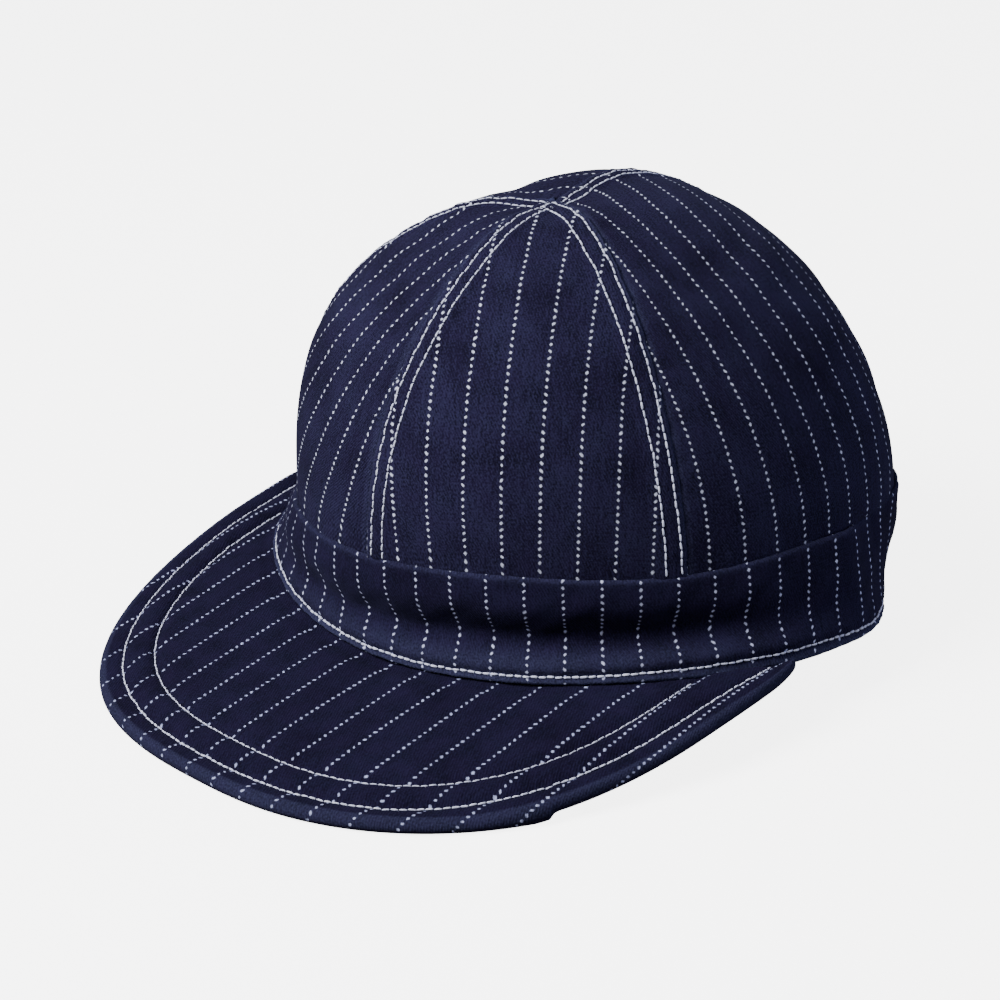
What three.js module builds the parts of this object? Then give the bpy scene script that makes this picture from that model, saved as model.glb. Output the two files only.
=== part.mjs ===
// Work cap of striped cotton twill, standing as it rests on a table.
// Four crown panels meet at the top, a tall head band closes their base, and a padded
// peak runs under the front of the band. Millimetres, +Z up, the peak points to -Y and
// the wearer's left is +X. The table is z = 0: the tip of the peak and the back of the
// band stand on it.
import * as THREE from 'three';

// Cloth
const CROWN_CLOTH = 1.6;
const BAND_CLOTH = 2.2;
const PEAK_THICKNESS = 3.8;
const SEAM_GAP = 0.4;

// Head band: radius and height of its foot and of its top seam, round from the front
// towards the wearer's left, and how deep the crease half way up folds inwards
const BAND_SHAPE = [
  { azimuth: 0, footRadius: 92.5, footHeight: 15, topRadius: 93.6, topHeight: 49.3, crease: 2.4 },
  { azimuth: 30, footRadius: 93, footHeight: 17, topRadius: 92.3, topHeight: 51.9, crease: 4 },
  { azimuth: 60, footRadius: 97, footHeight: 20, topRadius: 90.9, topHeight: 50.6, crease: 5 },
  { azimuth: 90, footRadius: 101, footHeight: 18, topRadius: 91.8, topHeight: 50.8, crease: 0.5 },
  { azimuth: 120, footRadius: 101.5, footHeight: 10.5, topRadius: 96.8, topHeight: 47.8, crease: 0 },
  { azimuth: 150, footRadius: 95, footHeight: 2.5, topRadius: 97.2, topHeight: 45.7, crease: 0 },
  { azimuth: 180, footRadius: 92, footHeight: -0.5, topRadius: 96.8, topHeight: 44.5, crease: 0 },
  { azimuth: 210, footRadius: 94.5, footHeight: 3, topRadius: 98.2, topHeight: 42.9, crease: 0 },
  { azimuth: 240, footRadius: 98, footHeight: 13, topRadius: 96.5, topHeight: 41.9, crease: 0 },
  { azimuth: 270, footRadius: 100.5, footHeight: 20, topRadius: 91.5, topHeight: 41.5, crease: 0.2 },
  { azimuth: 300, footRadius: 100.5, footHeight: 21, topRadius: 88.1, topHeight: 42.9, crease: 0.4 },
  { azimuth: 330, footRadius: 96, footHeight: 17.5, topRadius: 91, topHeight: 45.8, crease: 0.8 },
];
const BAND_PROUD = 0.9;
const CREASE_LEVEL = 0.57;
const CREASE_SPREAD = 0.2;
const SIDE_FOLD = { azimuth: 99, deepest: 128, end: 176, depth: 6.5 };

// Crown: the point where the seams cross, and how each side climbs to it. A small
// easeIn keeps the shoulder full, a small easeUp keeps the wall upright.
const APEX = { x: 1, y: -14, height: 145, dip: 6, dipRadius: 16 };
const CROWN_SHAPE = [
  { azimuth: 0, easeIn: 1.46, easeUp: 0.73, hollow: 4.8 },
  { azimuth: 60, easeIn: 1.12, easeUp: 0.87, hollow: 7.4 },
  { azimuth: 120, easeIn: 0.86, easeUp: 1.21, hollow: 1.7 },
  { azimuth: 180, easeIn: 0.86, easeUp: 1.32, hollow: -1.8 },
  { azimuth: 240, easeIn: 1.23, easeUp: 1.37, hollow: -0.8 },
  { azimuth: 300, easeIn: 1.62, easeUp: 0.64, hollow: 0.1 },
];
const SEAM_AZIMUTH = { front: 0, left: 62.5, back: 180, right: 301.5 };
const PANEL_FULLNESS = 1.2;
const APEX_HOLE = 1.6;

// Peak: a plane that falls to the front and to both sides, inside a squared oval that is
// a little narrower and lower on the wearer's left
const PEAK_OUTLINE = { reach: 132.4, centreY: -30.5, squareness: 2.4, endAngle: 102.4 };
const PEAK_HALF_WIDTH = { left: 104.9, right: 108.6 };
const PEAK_END = { roundFrom: 0.87, beyondBand: 2, heldOver: 24 };
const PEAK_SLOPE = { height: 40.3, fall: 0.232, arch: 0.00096, lean: 0.014 };
const PEAK_ATTACH_AZIMUTH = 77;
const PEAK_ROWS = { outer: 7.5, inner: 17.4 };
const PEAK_PUFF = 0.9;
const PEAK_EDGE_ROUND = 2;

// Facets
const BAND_STEPS = 104;
const PANEL_STEPS_PER_TURN = 68;
const CLIMB_STEPS = 14;
const PEAK_STEPS = 84;

const RAD = Math.PI / 180;

// One value of a table's column at an azimuth, by a smooth curve through its rows
function around(table, column, azimuth) {
  const count = table.length;
  const place = (((azimuth % 360) + 360) % 360) / (360 / count);
  const row = Math.floor(place);
  const t = place - row;
  const [a, b, c, d] = [-1, 0, 1, 2].map((step) => table[(row + step + count) % count][column]);
  return b + 0.5 * t * (c - a + t * (2 * a - 5 * b + 4 * c - d + t * (3 * (b - c) + d - a)));
}

function onCircle(azimuth, radius, height) {
  return new THREE.Vector3(radius * Math.sin(azimuth * RAD), -radius * Math.cos(azimuth * RAD), height);
}

function smooth(from, to, value) {
  return THREE.MathUtils.smoothstep(value, from, to);
}

// How far the band's wearer's left side folds in behind its corner, at its foot
function sideFold(azimuth) {
  const turn = ((azimuth % 360) + 360) % 360;
  const { azimuth: start, deepest, end, depth } = SIDE_FOLD;
  return depth * smooth(start, deepest, turn) * (1 - smooth(deepest, end, turn));
}

function topSeam(azimuth) {
  return onCircle(
    azimuth,
    around(BAND_SHAPE, 'topRadius', azimuth),
    around(BAND_SHAPE, 'topHeight', azimuth),
  );
}

function footHeight(azimuth) {
  return Math.max(0, around(BAND_SHAPE, 'footHeight', azimuth));
}

// The band's outer face, from its top seam (down = 0) to its foot (down = 1)
function bandPoint(azimuth, down) {
  const topRadius = around(BAND_SHAPE, 'topRadius', azimuth) + BAND_PROUD;
  const footRadius = around(BAND_SHAPE, 'footRadius', azimuth);
  const topHeight = around(BAND_SHAPE, 'topHeight', azimuth) - SEAM_GAP;
  const fold = ((down - CREASE_LEVEL) / CREASE_SPREAD) ** 2;
  const crease = Math.max(0, around(BAND_SHAPE, 'crease', azimuth)) * Math.exp(-fold);
  const radius = THREE.MathUtils.lerp(topRadius, footRadius, down) - crease - sideFold(azimuth) * down;
  return onCircle(azimuth, radius, THREE.MathUtils.lerp(topHeight, footHeight(azimuth), down));
}

// The crown's outer face, from the top seam (climb = 0) to the apex (climb = 1)
function crownPoint(azimuth, climb) {
  const base = topSeam(azimuth);
  const angle = (climb * Math.PI) / 2;
  const toBase = new THREE.Vector2(base.x - APEX.x, base.y - APEX.y);
  const reach = toBase.length();
  const hollow = around(CROWN_SHAPE, 'hollow', azimuth) * Math.sin(2 * angle) * Math.cos(angle);
  const inwards = Math.max(0, Math.cos(angle)) ** around(CROWN_SHAPE, 'easeIn', azimuth) - hollow / reach;
  const upwards = Math.sin(angle) ** around(CROWN_SHAPE, 'easeUp', azimuth);
  const dip = APEX.dip * Math.exp(-(((inwards * reach) / APEX.dipRadius) ** 2));
  return new THREE.Vector3(
    APEX.x + inwards * toBase.x,
    APEX.y + inwards * toBase.y,
    base.z + (APEX.height - base.z) * upwards - dip,
  );
}

// A closed sheet of cloth: an outer and an inner grid of points, joined along the rims
// of the grid, or only along its two ends where the grid runs all the way round
function clothSheet(outer, inner, closedRound) {
  const columns = outer.length;
  const rows = outer[0].length;
  const points = [...outer.flat(), ...inner.flat()];
  const indices = [];
  const at = (side, column, row) => side * columns * rows + (column % columns) * rows + row;
  const quad = (a, b, c, d) => indices.push(a, b, c, a, c, d);
  const lastColumn = closedRound ? columns : columns - 1;
  for (let i = 0; i < lastColumn; i += 1) {
    for (let j = 0; j < rows - 1; j += 1) {
      quad(at(0, i, j), at(0, i + 1, j), at(0, i + 1, j + 1), at(0, i, j + 1));
      quad(at(1, i, j), at(1, i, j + 1), at(1, i + 1, j + 1), at(1, i + 1, j));
    }
    quad(at(0, i, 0), at(1, i, 0), at(1, i + 1, 0), at(0, i + 1, 0));
    quad(at(0, i, rows - 1), at(0, i + 1, rows - 1), at(1, i + 1, rows - 1), at(1, i, rows - 1));
  }
  if (!closedRound) {
    for (let j = 0; j < rows - 1; j += 1) {
      quad(at(0, 0, j), at(0, 0, j + 1), at(1, 0, j + 1), at(1, 0, j));
      quad(at(0, columns - 1, j), at(1, columns - 1, j), at(1, columns - 1, j + 1), at(0, columns - 1, j + 1));
    }
  }
  const geometry = new THREE.BufferGeometry().setFromPoints(points);
  geometry.setIndex(indices);
  geometry.computeVertexNormals();
  return geometry;
}

// The inner face of a wall: each point moved in along the outer face's own normal
function insideOf(outer, thickness, closedRound) {
  const columns = outer.length;
  const rows = outer[0].length;
  const column = (i) => (closedRound ? (i + columns) % columns : THREE.MathUtils.clamp(i, 0, columns - 1));
  const row = (j) => THREE.MathUtils.clamp(j, 0, rows - 1);
  return outer.map((points, i) => points.map((point, j) => {
    const along = outer[column(i + 1)][j].clone().sub(outer[column(i - 1)][j]);
    const up = outer[i][row(j + 1)].clone().sub(outer[i][row(j - 1)]);
    const normal = along.cross(up).normalize();
    return point.clone().addScaledVector(normal, -thickness);
  }));
}

function cloth(name, geometry, colour) {
  const material = new THREE.MeshStandardMaterial({ color: colour, roughness: 0.92, metalness: 0 });
  material.side = THREE.FrontSide;
  const mesh = new THREE.Mesh(geometry, material);
  mesh.name = name;
  return mesh;
}

// A crown panel between two seams. It keeps half a seam's gap from each, swells a
// little between them, and stops just short of the apex.
function crownPanel(name, fromAzimuth, toAzimuth) {
  const columns = Math.round(((toAzimuth - fromAzimuth) * PANEL_STEPS_PER_TURN) / 360);
  const outer = [];
  for (let i = 0; i <= columns; i += 1) {
    const share = i / columns;
    const rowPoints = [];
    for (let j = 0; j <= CLIMB_STEPS; j += 1) {
      const climb = (j / CLIMB_STEPS) ** 0.9;
      const plain = crownPoint(fromAzimuth + share * (toAzimuth - fromAzimuth), climb);
      const radius = Math.max(Math.hypot(plain.x - APEX.x, plain.y - APEX.y), APEX_HOLE);
      const trim = SEAM_GAP / 2 / radius / RAD;
      const azimuth = THREE.MathUtils.lerp(fromAzimuth + trim, toAzimuth - trim, share);
      const swell = 1 + (PANEL_FULLNESS * Math.sin(Math.PI * share) * Math.sin(Math.PI * climb)) / 100;
      const point = crownPoint(azimuth, climb);
      const fromApex = new THREE.Vector2(point.x - APEX.x, point.y - APEX.y);
      if (fromApex.length() < APEX_HOLE) {
        const towards = topSeam(azimuth);
        fromApex.set(towards.x - APEX.x, towards.y - APEX.y).setLength(APEX_HOLE);
      }
      fromApex.multiplyScalar(swell);
      rowPoints.push(new THREE.Vector3(APEX.x + fromApex.x, APEX.y + fromApex.y, point.z));
    }
    outer.push(rowPoints);
  }
  return cloth(name, clothSheet(outer, insideOf(outer, CROWN_CLOTH, false), false), 0x1d2140);
}

// The head band: one strip all the way round, folded in at its crease
function headBand() {
  const levels = [1, 0.93, 0.82, 0.69, 0.57, 0.45, 0.3, 0.14, 0.04, 0];
  const outer = [];
  const inner = [];
  for (let i = 0; i < BAND_STEPS; i += 1) {
    const azimuth = (i * 360) / BAND_STEPS;
    const face = levels.map((down) => bandPoint(azimuth, down));
    outer.push(face);
    inner.push(face.map((point) => {
      const radius = Math.hypot(point.x, point.y);
      return onCircle(azimuth, radius - BAND_CLOTH, point.z);
    }));
  }
  return cloth('head_band', clothSheet(outer, inner, true), 0x171a33);
}

function peakPlane(point) {
  const { height, fall, arch, lean } = PEAK_SLOPE;
  return height + fall * point.y - arch * point.x ** 2 - lean * point.x;
}

// The peak's top face lies on its sloped plane, and comes down to the band's foot. Its narrow
// ends are held down at the foot all over.
function peakTop(point, azimuth, nearBand, fromBand) {
  const seat = footHeight(azimuth) - SEAM_GAP;
  const held = Math.max(nearBand ** 2, 1 - smooth(0, PEAK_END.heldOver, fromBand));
  const drop = (seat - peakPlane(bandPoint(azimuth, 1))) * held;
  return Math.max(peakPlane(point) + drop, PEAK_THICKNESS);
}

function peakEdge(share) {
  const { reach, centreY, squareness, endAngle } = PEAK_OUTLINE;
  const halfWidth = share > 0 ? PEAK_HALF_WIDTH.left : PEAK_HALF_WIDTH.right;
  const angle = share * endAngle * RAD;
  const across = (Math.abs(Math.sin(angle)) / halfWidth) ** squareness;
  const forward = (Math.abs(Math.cos(angle)) / reach) ** squareness;
  const radius = (across + forward) ** (-1 / squareness);
  return new THREE.Vector2(radius * Math.sin(angle), centreY - radius * Math.cos(angle));
}

// The peak: padded channels between its stitched rows, and a rolled edge
function peak() {
  const outer = [];
  const inner = [];
  for (let i = 0; i <= PEAK_STEPS; i += 1) {
    const share = (2 * i) / PEAK_STEPS - 1;
    const azimuth = share * PEAK_ATTACH_AZIMUTH;
    const foot = bandPoint(azimuth, 1);
    const footRadius = Math.hypot(foot.x, foot.y);
    const under = onCircle(azimuth, footRadius - BAND_CLOTH, 0);
    const beside = onCircle(azimuth, footRadius + 0.6, 0);
    const corner = Math.max(0, (Math.abs(share) - PEAK_END.roundFrom) / (1 - PEAK_END.roundFrom));
    const end = onCircle(azimuth, footRadius + PEAK_END.beyondBand, 0);
    const edge = peakEdge(share).lerp(new THREE.Vector2(end.x, end.y), 1 - Math.sqrt(1 - corner ** 2));
    const along = new THREE.Vector2(edge.x - beside.x, edge.y - beside.y);
    const depth = along.length();
    const squeeze = Math.min(1, depth / (PEAK_ROWS.inner * 1.25));
    const place = (fromEdge) => {
      const kept = 1 - (fromEdge * squeeze) / depth;
      return new THREE.Vector3(beside.x + along.x * kept, beside.y + along.y * kept, 0);
    };
    const middle = (PEAK_ROWS.outer + PEAK_ROWS.inner) / 2;
    const stations = [
      { at: place(PEAK_EDGE_ROUND), rise: PEAK_PUFF * 0.3 },
      { at: place(PEAK_ROWS.outer * 0.6), rise: PEAK_PUFF * 0.7 },
      { at: place(PEAK_ROWS.outer), rise: 0 },
      { at: place(middle), rise: PEAK_PUFF },
      { at: place(PEAK_ROWS.inner), rise: 0 },
      { at: place(PEAK_ROWS.inner + (depth - PEAK_ROWS.inner) * 0.3 * squeeze), rise: 0.4 },
      { at: place(PEAK_ROWS.inner + (depth - PEAK_ROWS.inner) * 0.65 * squeeze), rise: 0.2 },
      { at: beside, rise: 0 },
      { at: under, rise: 0 },
    ];
    const topFace = stations.map(({ at, rise }, index) => {
      const fromBand = index >= stations.length - 2 ? 0 : Math.hypot(at.x - beside.x, at.y - beside.y);
      const nearBand = 1 - Math.min(1, fromBand / depth);
      const anchor = index === stations.length - 1 ? beside : at;
      const z = peakTop(anchor, azimuth, nearBand, fromBand) + rise * squeeze;
      return new THREE.Vector3(at.x, at.y, z);
    });
    const bottomFace = topFace.map((point, index) => {
      const rise = stations[index].rise * squeeze;
      return new THREE.Vector3(point.x, point.y, Math.max(0, point.z - rise - PEAK_THICKNESS));
    });
    const rim = new THREE.Vector3(edge.x, edge.y, (topFace[0].z + bottomFace[0].z) / 2);
    outer.push([rim, ...topFace]);
    inner.push([rim.clone().setZ(rim.z - PEAK_THICKNESS * 0.2), ...bottomFace]);
  }
  return cloth('peak', clothSheet(outer, inner, false), 0x1d2140);
}

const cap = new THREE.Group();
cap.add(
  crownPanel('crown_front_left', SEAM_AZIMUTH.front, SEAM_AZIMUTH.left),
  crownPanel('crown_back_left', SEAM_AZIMUTH.left, SEAM_AZIMUTH.back),
  crownPanel('crown_back_right', SEAM_AZIMUTH.back, SEAM_AZIMUTH.right),
  crownPanel('crown_front_right', SEAM_AZIMUTH.right, 360),
  headBand(),
  peak(),
);

// The origin is the middle of the cap's footprint, on the table
const box = new THREE.Box3().setFromObject(cap);
cap.position.set(-(box.min.x + box.max.x) / 2, -(box.min.y + box.max.y) / 2, -box.min.z);

export default cap;
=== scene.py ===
import math
from functools import partial
import bpy
import numpy as np
from mathutils import Matrix, Vector
from mathutils.bvhtree import BVHTree


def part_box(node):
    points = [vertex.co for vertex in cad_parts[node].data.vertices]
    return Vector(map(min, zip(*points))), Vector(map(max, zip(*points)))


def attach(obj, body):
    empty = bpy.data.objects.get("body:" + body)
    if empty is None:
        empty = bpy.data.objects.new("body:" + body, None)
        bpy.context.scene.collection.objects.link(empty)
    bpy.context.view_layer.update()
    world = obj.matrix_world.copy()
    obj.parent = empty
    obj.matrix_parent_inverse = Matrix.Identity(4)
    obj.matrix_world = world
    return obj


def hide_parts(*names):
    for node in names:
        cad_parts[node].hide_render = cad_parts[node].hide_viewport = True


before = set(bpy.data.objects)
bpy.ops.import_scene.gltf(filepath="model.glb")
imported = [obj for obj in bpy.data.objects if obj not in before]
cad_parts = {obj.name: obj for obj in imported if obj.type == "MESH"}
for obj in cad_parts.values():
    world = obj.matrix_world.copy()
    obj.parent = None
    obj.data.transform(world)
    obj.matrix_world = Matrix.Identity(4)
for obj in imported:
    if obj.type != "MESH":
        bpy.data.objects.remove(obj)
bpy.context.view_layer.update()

# Head band
# A tall strip of indigo twill, turned up at its foot and stitched once round. It closes the
# base of the crown, folds in at a crease half way up, and slumps where nothing holds it.

MM = 0.001

# The band's radii, heights and depth of crease in mm, at each azimuth in degrees. Azimuth 0 is
# the wearer's front and 90 is the wearer's left.
BAND_COLUMNS = ("foot_radius", "foot_height", "top_radius", "top_height", "crease")
BAND_SHAPE = {
    0: (92.5, 15, 93.6, 49.3, 2.4),
    30: (93, 17, 92.3, 51.9, 4),
    60: (97, 20, 90.9, 50.6, 5),
    90: (101, 18, 91.8, 50.8, 0.5),
    120: (101.5, 10.5, 96.8, 47.8, 0),
    150: (95, 2.5, 97.2, 45.7, 0),
    180: (92, -0.5, 96.8, 44.5, 0),
    210: (94.5, 3, 98.2, 42.9, 0),
    240: (98, 13, 96.5, 41.9, 0),
    270: (100.5, 20, 91.5, 41.5, 0.2),
    300: (100.5, 21, 88.1, 42.9, 0.4),
    330: (96, 17.5, 91, 45.8, 0.8),
}

# How far it stands out from its top seam, its cloth in the solid, the gap at its two seams, and
# where its crease and its folded side lie
BAND_PROUD = 0.9
BAND_CLOTH = 2.2
SEAM_GAP = 0.4
CREASE_LEVEL = 0.57
CREASE_SPREAD = 0.2
SIDE_FOLD = {"azimuth": 99, "deepest": 128, "end": 176, "depth": 6.5}

# The rolls of its two edges, the height of its row of stitches, its cloth, and the grid's size
FOOT_ROLL = 1.1
TOP_ROLL = 0.9
HEM_ROW = 2.9
BAND_WALL = BAND_CLOTH - 0.3
CLOTH_STEP = 1.35
BAND_ROWS = 44
BAND_AROUND = 620

# The stripes: a dotted line every 11.27 mm, its dots 2.12 mm apart. A dot is about 1 mm high, a
# little narrower, and leans by up to half its height.
STRIPE_SPACING = 11.27
DOT_SPACING = 2.12
DOT_REACH = 0.5
DOT_NARROWNESS = 0.88
DOT_LEAN = 1.1
BAND_FIRST_STRIPE = 0.725

# The weave: its diagonal rib is drawn every 0.9 mm across the stripes, coarser than the real
# twill's, so that it shows
TWILL_LINE = 0.9
TWILL_SLOPE = 0.55

# The middle of the band's ring, in the frame, from the peak's tip and its right side
PEAK_REACH = 132.4
PEAK_CENTRE = -30.5
PEAK_HALF_WIDTH = {"left": 104.9, "right": 108.6}
peak_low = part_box("peak")[0]
RING_CENTRE = np.array([
    peak_low.x / MM + PEAK_HALF_WIDTH["right"],
    peak_low.y / MM + PEAK_REACH - PEAK_CENTRE,
    0.0,
])


def around(table, columns, name, azimuth):
    """One column of a table at each azimuth in degrees, by a smooth curve through its rows."""
    values = np.array([row[columns.index(name)] for row in table.values()], float)
    place = np.mod(azimuth, 360) / (360 / len(values))
    row = np.floor(place).astype(int)
    t = place - row
    a, b, c, d = (values[(row + step) % len(values)] for step in (-1, 0, 1, 2))
    return b + 0.5 * t * (c - a + t * (2 * a - 5 * b + 4 * c - d + t * (3 * (b - c) + d - a)))


def smooth(start, end, value):
    """A soft step from 0 at the start to 1 at the end."""
    t = np.clip((value - start) / (end - start), 0, 1)
    return t * t * (3 - 2 * t)


def on_circle(azimuth, radius, height):
    """Points round the middle of the ring, from the front (0 degrees) to the wearer's left (90)."""
    turn = np.radians(azimuth)
    return np.stack(np.broadcast_arrays(radius * np.sin(turn), -radius * np.cos(turn), height), -1)


def outward(points):
    """The outward normals of a grid of points that runs round the cap and then upwards."""
    normals = np.cross(np.gradient(points, axis=0), np.gradient(points, axis=1))
    return normals / np.maximum(np.linalg.norm(normals, axis=-1, keepdims=True), 1e-9)


def lengths_along(points, axis):
    """The distance in mm from the start of each row of a grid, or of each column."""
    steps = np.linalg.norm(np.diff(points, axis=axis), axis=-1)
    start = np.zeros_like(np.take(steps, [0], axis=axis))
    return np.concatenate([start, np.cumsum(steps, axis=axis)], axis=axis)


def bump_at(value, middle, reach):
    """A smooth bump of height 1 round a middle value."""
    return np.exp(-(((value - middle) / reach) ** 2))


def rolled_edge(distance, radius):
    """How far in the cloth lies near an edge that is rolled to that radius."""
    return -radius * (1 - np.sqrt(1 - (1 - np.clip(distance / radius, 0, 1)) ** 2))


def ripple(along, wavelength, shift):
    """An uneven wave of about that length, from -1 to 1."""
    wave = np.sin(2 * np.pi * along / wavelength + shift + 0.9 * np.sin(along / 13 + shift))
    return 0.65 * wave + 0.35 * np.sin(2 * np.pi * along / (wavelength * 0.57) + 2.3 * shift)


def linear(hex_colour):
    """An sRGB hex colour as linear red, green, blue and alpha."""
    parts = [int(hex_colour[i:i + 2], 16) / 255 for i in (1, 3, 5)]
    return [c / 12.92 if c <= 0.04045 else ((c + 0.055) / 1.055) ** 2.4 for c in parts] + [1.0]


def add_node(material, kind, *values, links=None, output=0, **settings):
    """Adds a shader node and returns one of its outputs. The values go to its first inputs, the
    links to the inputs that they name or number. Each is an output socket or a plain value."""
    tree = material.node_tree
    node = tree.nodes.new("ShaderNode" + kind)
    for name, value in settings.items():
        setattr(node, name, value)
    for name, value in [*enumerate(values), *(links or {}).items()]:
        if isinstance(value, bpy.types.NodeSocket):
            tree.links.new(value, node.inputs[name])
        else:
            node.inputs[name].default_value = value
    return node.outputs[output]


def new_material(name, finish):
    """A material and its shader, with the values of the shader's inputs that the finish names."""
    material = bpy.data.materials.new(name)
    material.use_nodes = True
    surface = material.node_tree.nodes["Principled BSDF"]
    for name, value in finish.items():
        surface.inputs[name].default_value = value
    return material, surface


VIOLET_CAST = "#261C3E"
# A pale indigo for rubbed cloth, which also paints the highlight on the band's lip
WORN_AND_HIGHLIGHT_INDIGO = "#5A5F86"
TWILL_FINISH = {
    "Roughness": 0.9, "Specular IOR Level": 0.05,
    "Sheen Weight": 0.04, "Sheen Roughness": 0.5, "Sheen Tint": linear("#9A9ED6"),
}


def striped_twill(name, dark, light, dots, dot_strength=1.0):
    """Indigo cotton twill, 3/1 weave, with discharge-printed dots. The indigo is uneven from yarn
    to yarn and paler where it is rubbed, and the same pale mix lays a painted highlight on the
    band's lip. The face is dull with a faint sheen, and each dot is ragged and a little different
    because the white sits on the raised warp yarns."""
    material, surface = new_material(name, TWILL_FINISH)
    add = partial(add_node, material)
    cloth = add("UVMap", uv_map="weave")
    weft_place, warp_place, _ = add("SeparateXYZ", cloth).node.outputs

    # Each noise: where it is read, its cells in a mm, and its detail. The yarns are streaks
    # 0.7 mm wide and 6 mm long. Real yarns are 0.4 mm wide, too fine to show.
    streaks = add("Mapping", links={"Vector": cloth, "Scale": (1.4, 0.16, 1.0)})
    yarn, speckle, blotch, violet, ragged = (
        add(
            "TexNoise", links={"Vector": place, "Scale": scale, "Detail": detail},
            noise_dimensions="2D",
        ) for place, scale, detail in (
            (streaks, 1.0, 3.0), (cloth, 1.5, 3.0), (cloth, 0.05, 2.0), (cloth, 0.16, 2.0),
            (cloth, 2.6, 1.0),
        )
    )
    slope = add("Math", warp_place, TWILL_SLOPE, weft_place, operation="MULTIPLY_ADD")
    slope = add("Math", slope, 2 * math.pi / TWILL_LINE, operation="MULTIPLY")
    rib = add("Math", slope, operation="SINE")

    # Indigo: uneven, violet in patches, and paler where it is worn. The same pale mix paints a
    # highlight on the front of the band's lip, where it faces up into the light.
    tone = add("Math", speckle, 1.2, operation="MULTIPLY")
    for pattern, share in ((yarn, 0.5), (blotch, 0.5), (rib, 0.07)):
        tone = add("Math", pattern, share, tone, operation="MULTIPLY_ADD")
    shade = add("MapRange", links={"Value": tone, "From Min": 0.9, "From Max": 1.33})
    violet = add("Math", violet, 0.5, operation="MULTIPLY")
    # How rubbed the cloth is, which on the band also carries a painted highlight
    worn = add("Attribute", attribute_name="wear_and_highlight", output="Fac")
    worn = add("Math", worn, speckle, operation="MULTIPLY")
    worn = add("Math", worn, 0.8, operation="MULTIPLY")
    indigo = linear(dark)
    for share, colour in ((shade, light), (violet, VIOLET_CAST), (worn, WORN_AND_HIGHLIGHT_INDIGO)):
        mixed = {0: share, 6: indigo, 7: linear(colour)}
        indigo = add("Mix", links=mixed, output=2, data_type="RGBA")

    # Dots: the nearest stripe and the nearest dot on it, in mm from their middles. Each stripe's
    # dots start at another height.
    stripe = add("Math", weft_place, STRIPE_SPACING, operation="DIVIDE")
    stripe_number = add("Math", stripe, operation="ROUND")
    across = add("Math", stripe, stripe_number, operation="SUBTRACT")
    across = add("Math", across, STRIPE_SPACING, operation="MULTIPLY")
    start = add("TexWhiteNoise", links={"W": stripe_number}, noise_dimensions="1D")
    dot = add("Math", warp_place, DOT_SPACING, operation="DIVIDE")
    dot = add("Math", dot, start, operation="ADD")
    dot_number = add("Math", dot, operation="ROUND")
    along = add("Math", dot, dot_number, operation="SUBTRACT")
    along = add("Math", along, DOT_SPACING, operation="MULTIPLY")

    # No two dots are alike: each leans, and is larger or smaller, brighter or duller
    which = add("CombineXYZ", stripe_number, dot_number)
    chance = add("TexWhiteNoise", links={"Vector": which}, output="Color", noise_dimensions="2D")
    leaning, larger, brighter = add("SeparateColor", chance).node.outputs[:3]
    lean = add("Math", leaning, DOT_LEAN, -DOT_LEAN / 2, operation="MULTIPLY_ADD")
    across = add("Math", along, lean, across, operation="MULTIPLY_ADD")
    radius = add("Math", larger, 0.3 * DOT_REACH, 0.85 * DOT_REACH, operation="MULTIPLY_ADD")
    narrower = add("Math", radius, DOT_NARROWNESS, operation="MULTIPLY")
    reaches = []
    for offset, size in ((across, narrower), (along, radius)):
        offset = add("Math", offset, operation="ABSOLUTE")
        offset = add("Math", offset, size, operation="DIVIDE")
        reaches.append(add("Math", offset, 1.5, operation="POWER"))
    reach = add("Math", *reaches, operation="ADD")
    ragged = add("Math", ragged, 0.5, operation="SUBTRACT")
    reach = add("Math", ragged, 1.1, reach, operation="MULTIPLY_ADD")
    mask = add(
        "MapRange", links={"Value": reach, "From Min": 1.6, "From Max": 0.3},
        interpolation_type="SMOOTHSTEP",
    )
    strength = add(
        "Math", brighter, 0.3 * dot_strength, 0.7 * dot_strength, operation="MULTIPLY_ADD",
    )
    strength = add("Math", mask, strength, operation="MULTIPLY")
    dotted = {0: strength, 6: indigo, 7: linear(dots)}
    colour = add("Mix", links=dotted, output=2, data_type="RGBA")
    material.node_tree.links.new(colour, surface.inputs["Base Color"])

    height = add("Math", yarn, 0.9, operation="MULTIPLY")
    for pattern, share in ((rib, 0.35), (speckle, 0.8)):
        height = add("Math", pattern, share, height, operation="MULTIPLY_ADD")
    bump = add("Bump", links={"Height": height, "Strength": 0.5, "Distance": 0.3 * MM})
    material.node_tree.links.new(bump, surface.inputs["Normal"])
    return material


band_twill = striped_twill("indigo_twill_band", "#0A0A18", "#1E1E37", "#D6DBFF")
twill_reverse = striped_twill("indigo_twill_reverse", "#151A30", "#2A3152", "#AEB5D2", 0.35)


def grid_quads(columns, rows):
    """The four corners of each face of a grid of points, facing outwards."""
    number = np.arange(columns * rows).reshape(columns, rows)
    quads = np.stack([number[:-1, :-1], number[1:, :-1], number[1:, 1:], number[:-1, 1:]], -1)
    return quads.reshape(-1, 4)


def new_piece(name, mesh, *materials):
    """A smooth-shaded object in the scene."""
    for material in materials:
        mesh.materials.append(material)
    for polygon in mesh.polygons:
        polygon.use_smooth = True
    piece = bpy.data.objects.new(name, mesh)
    bpy.context.scene.collection.objects.link(piece)
    return piece


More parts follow.
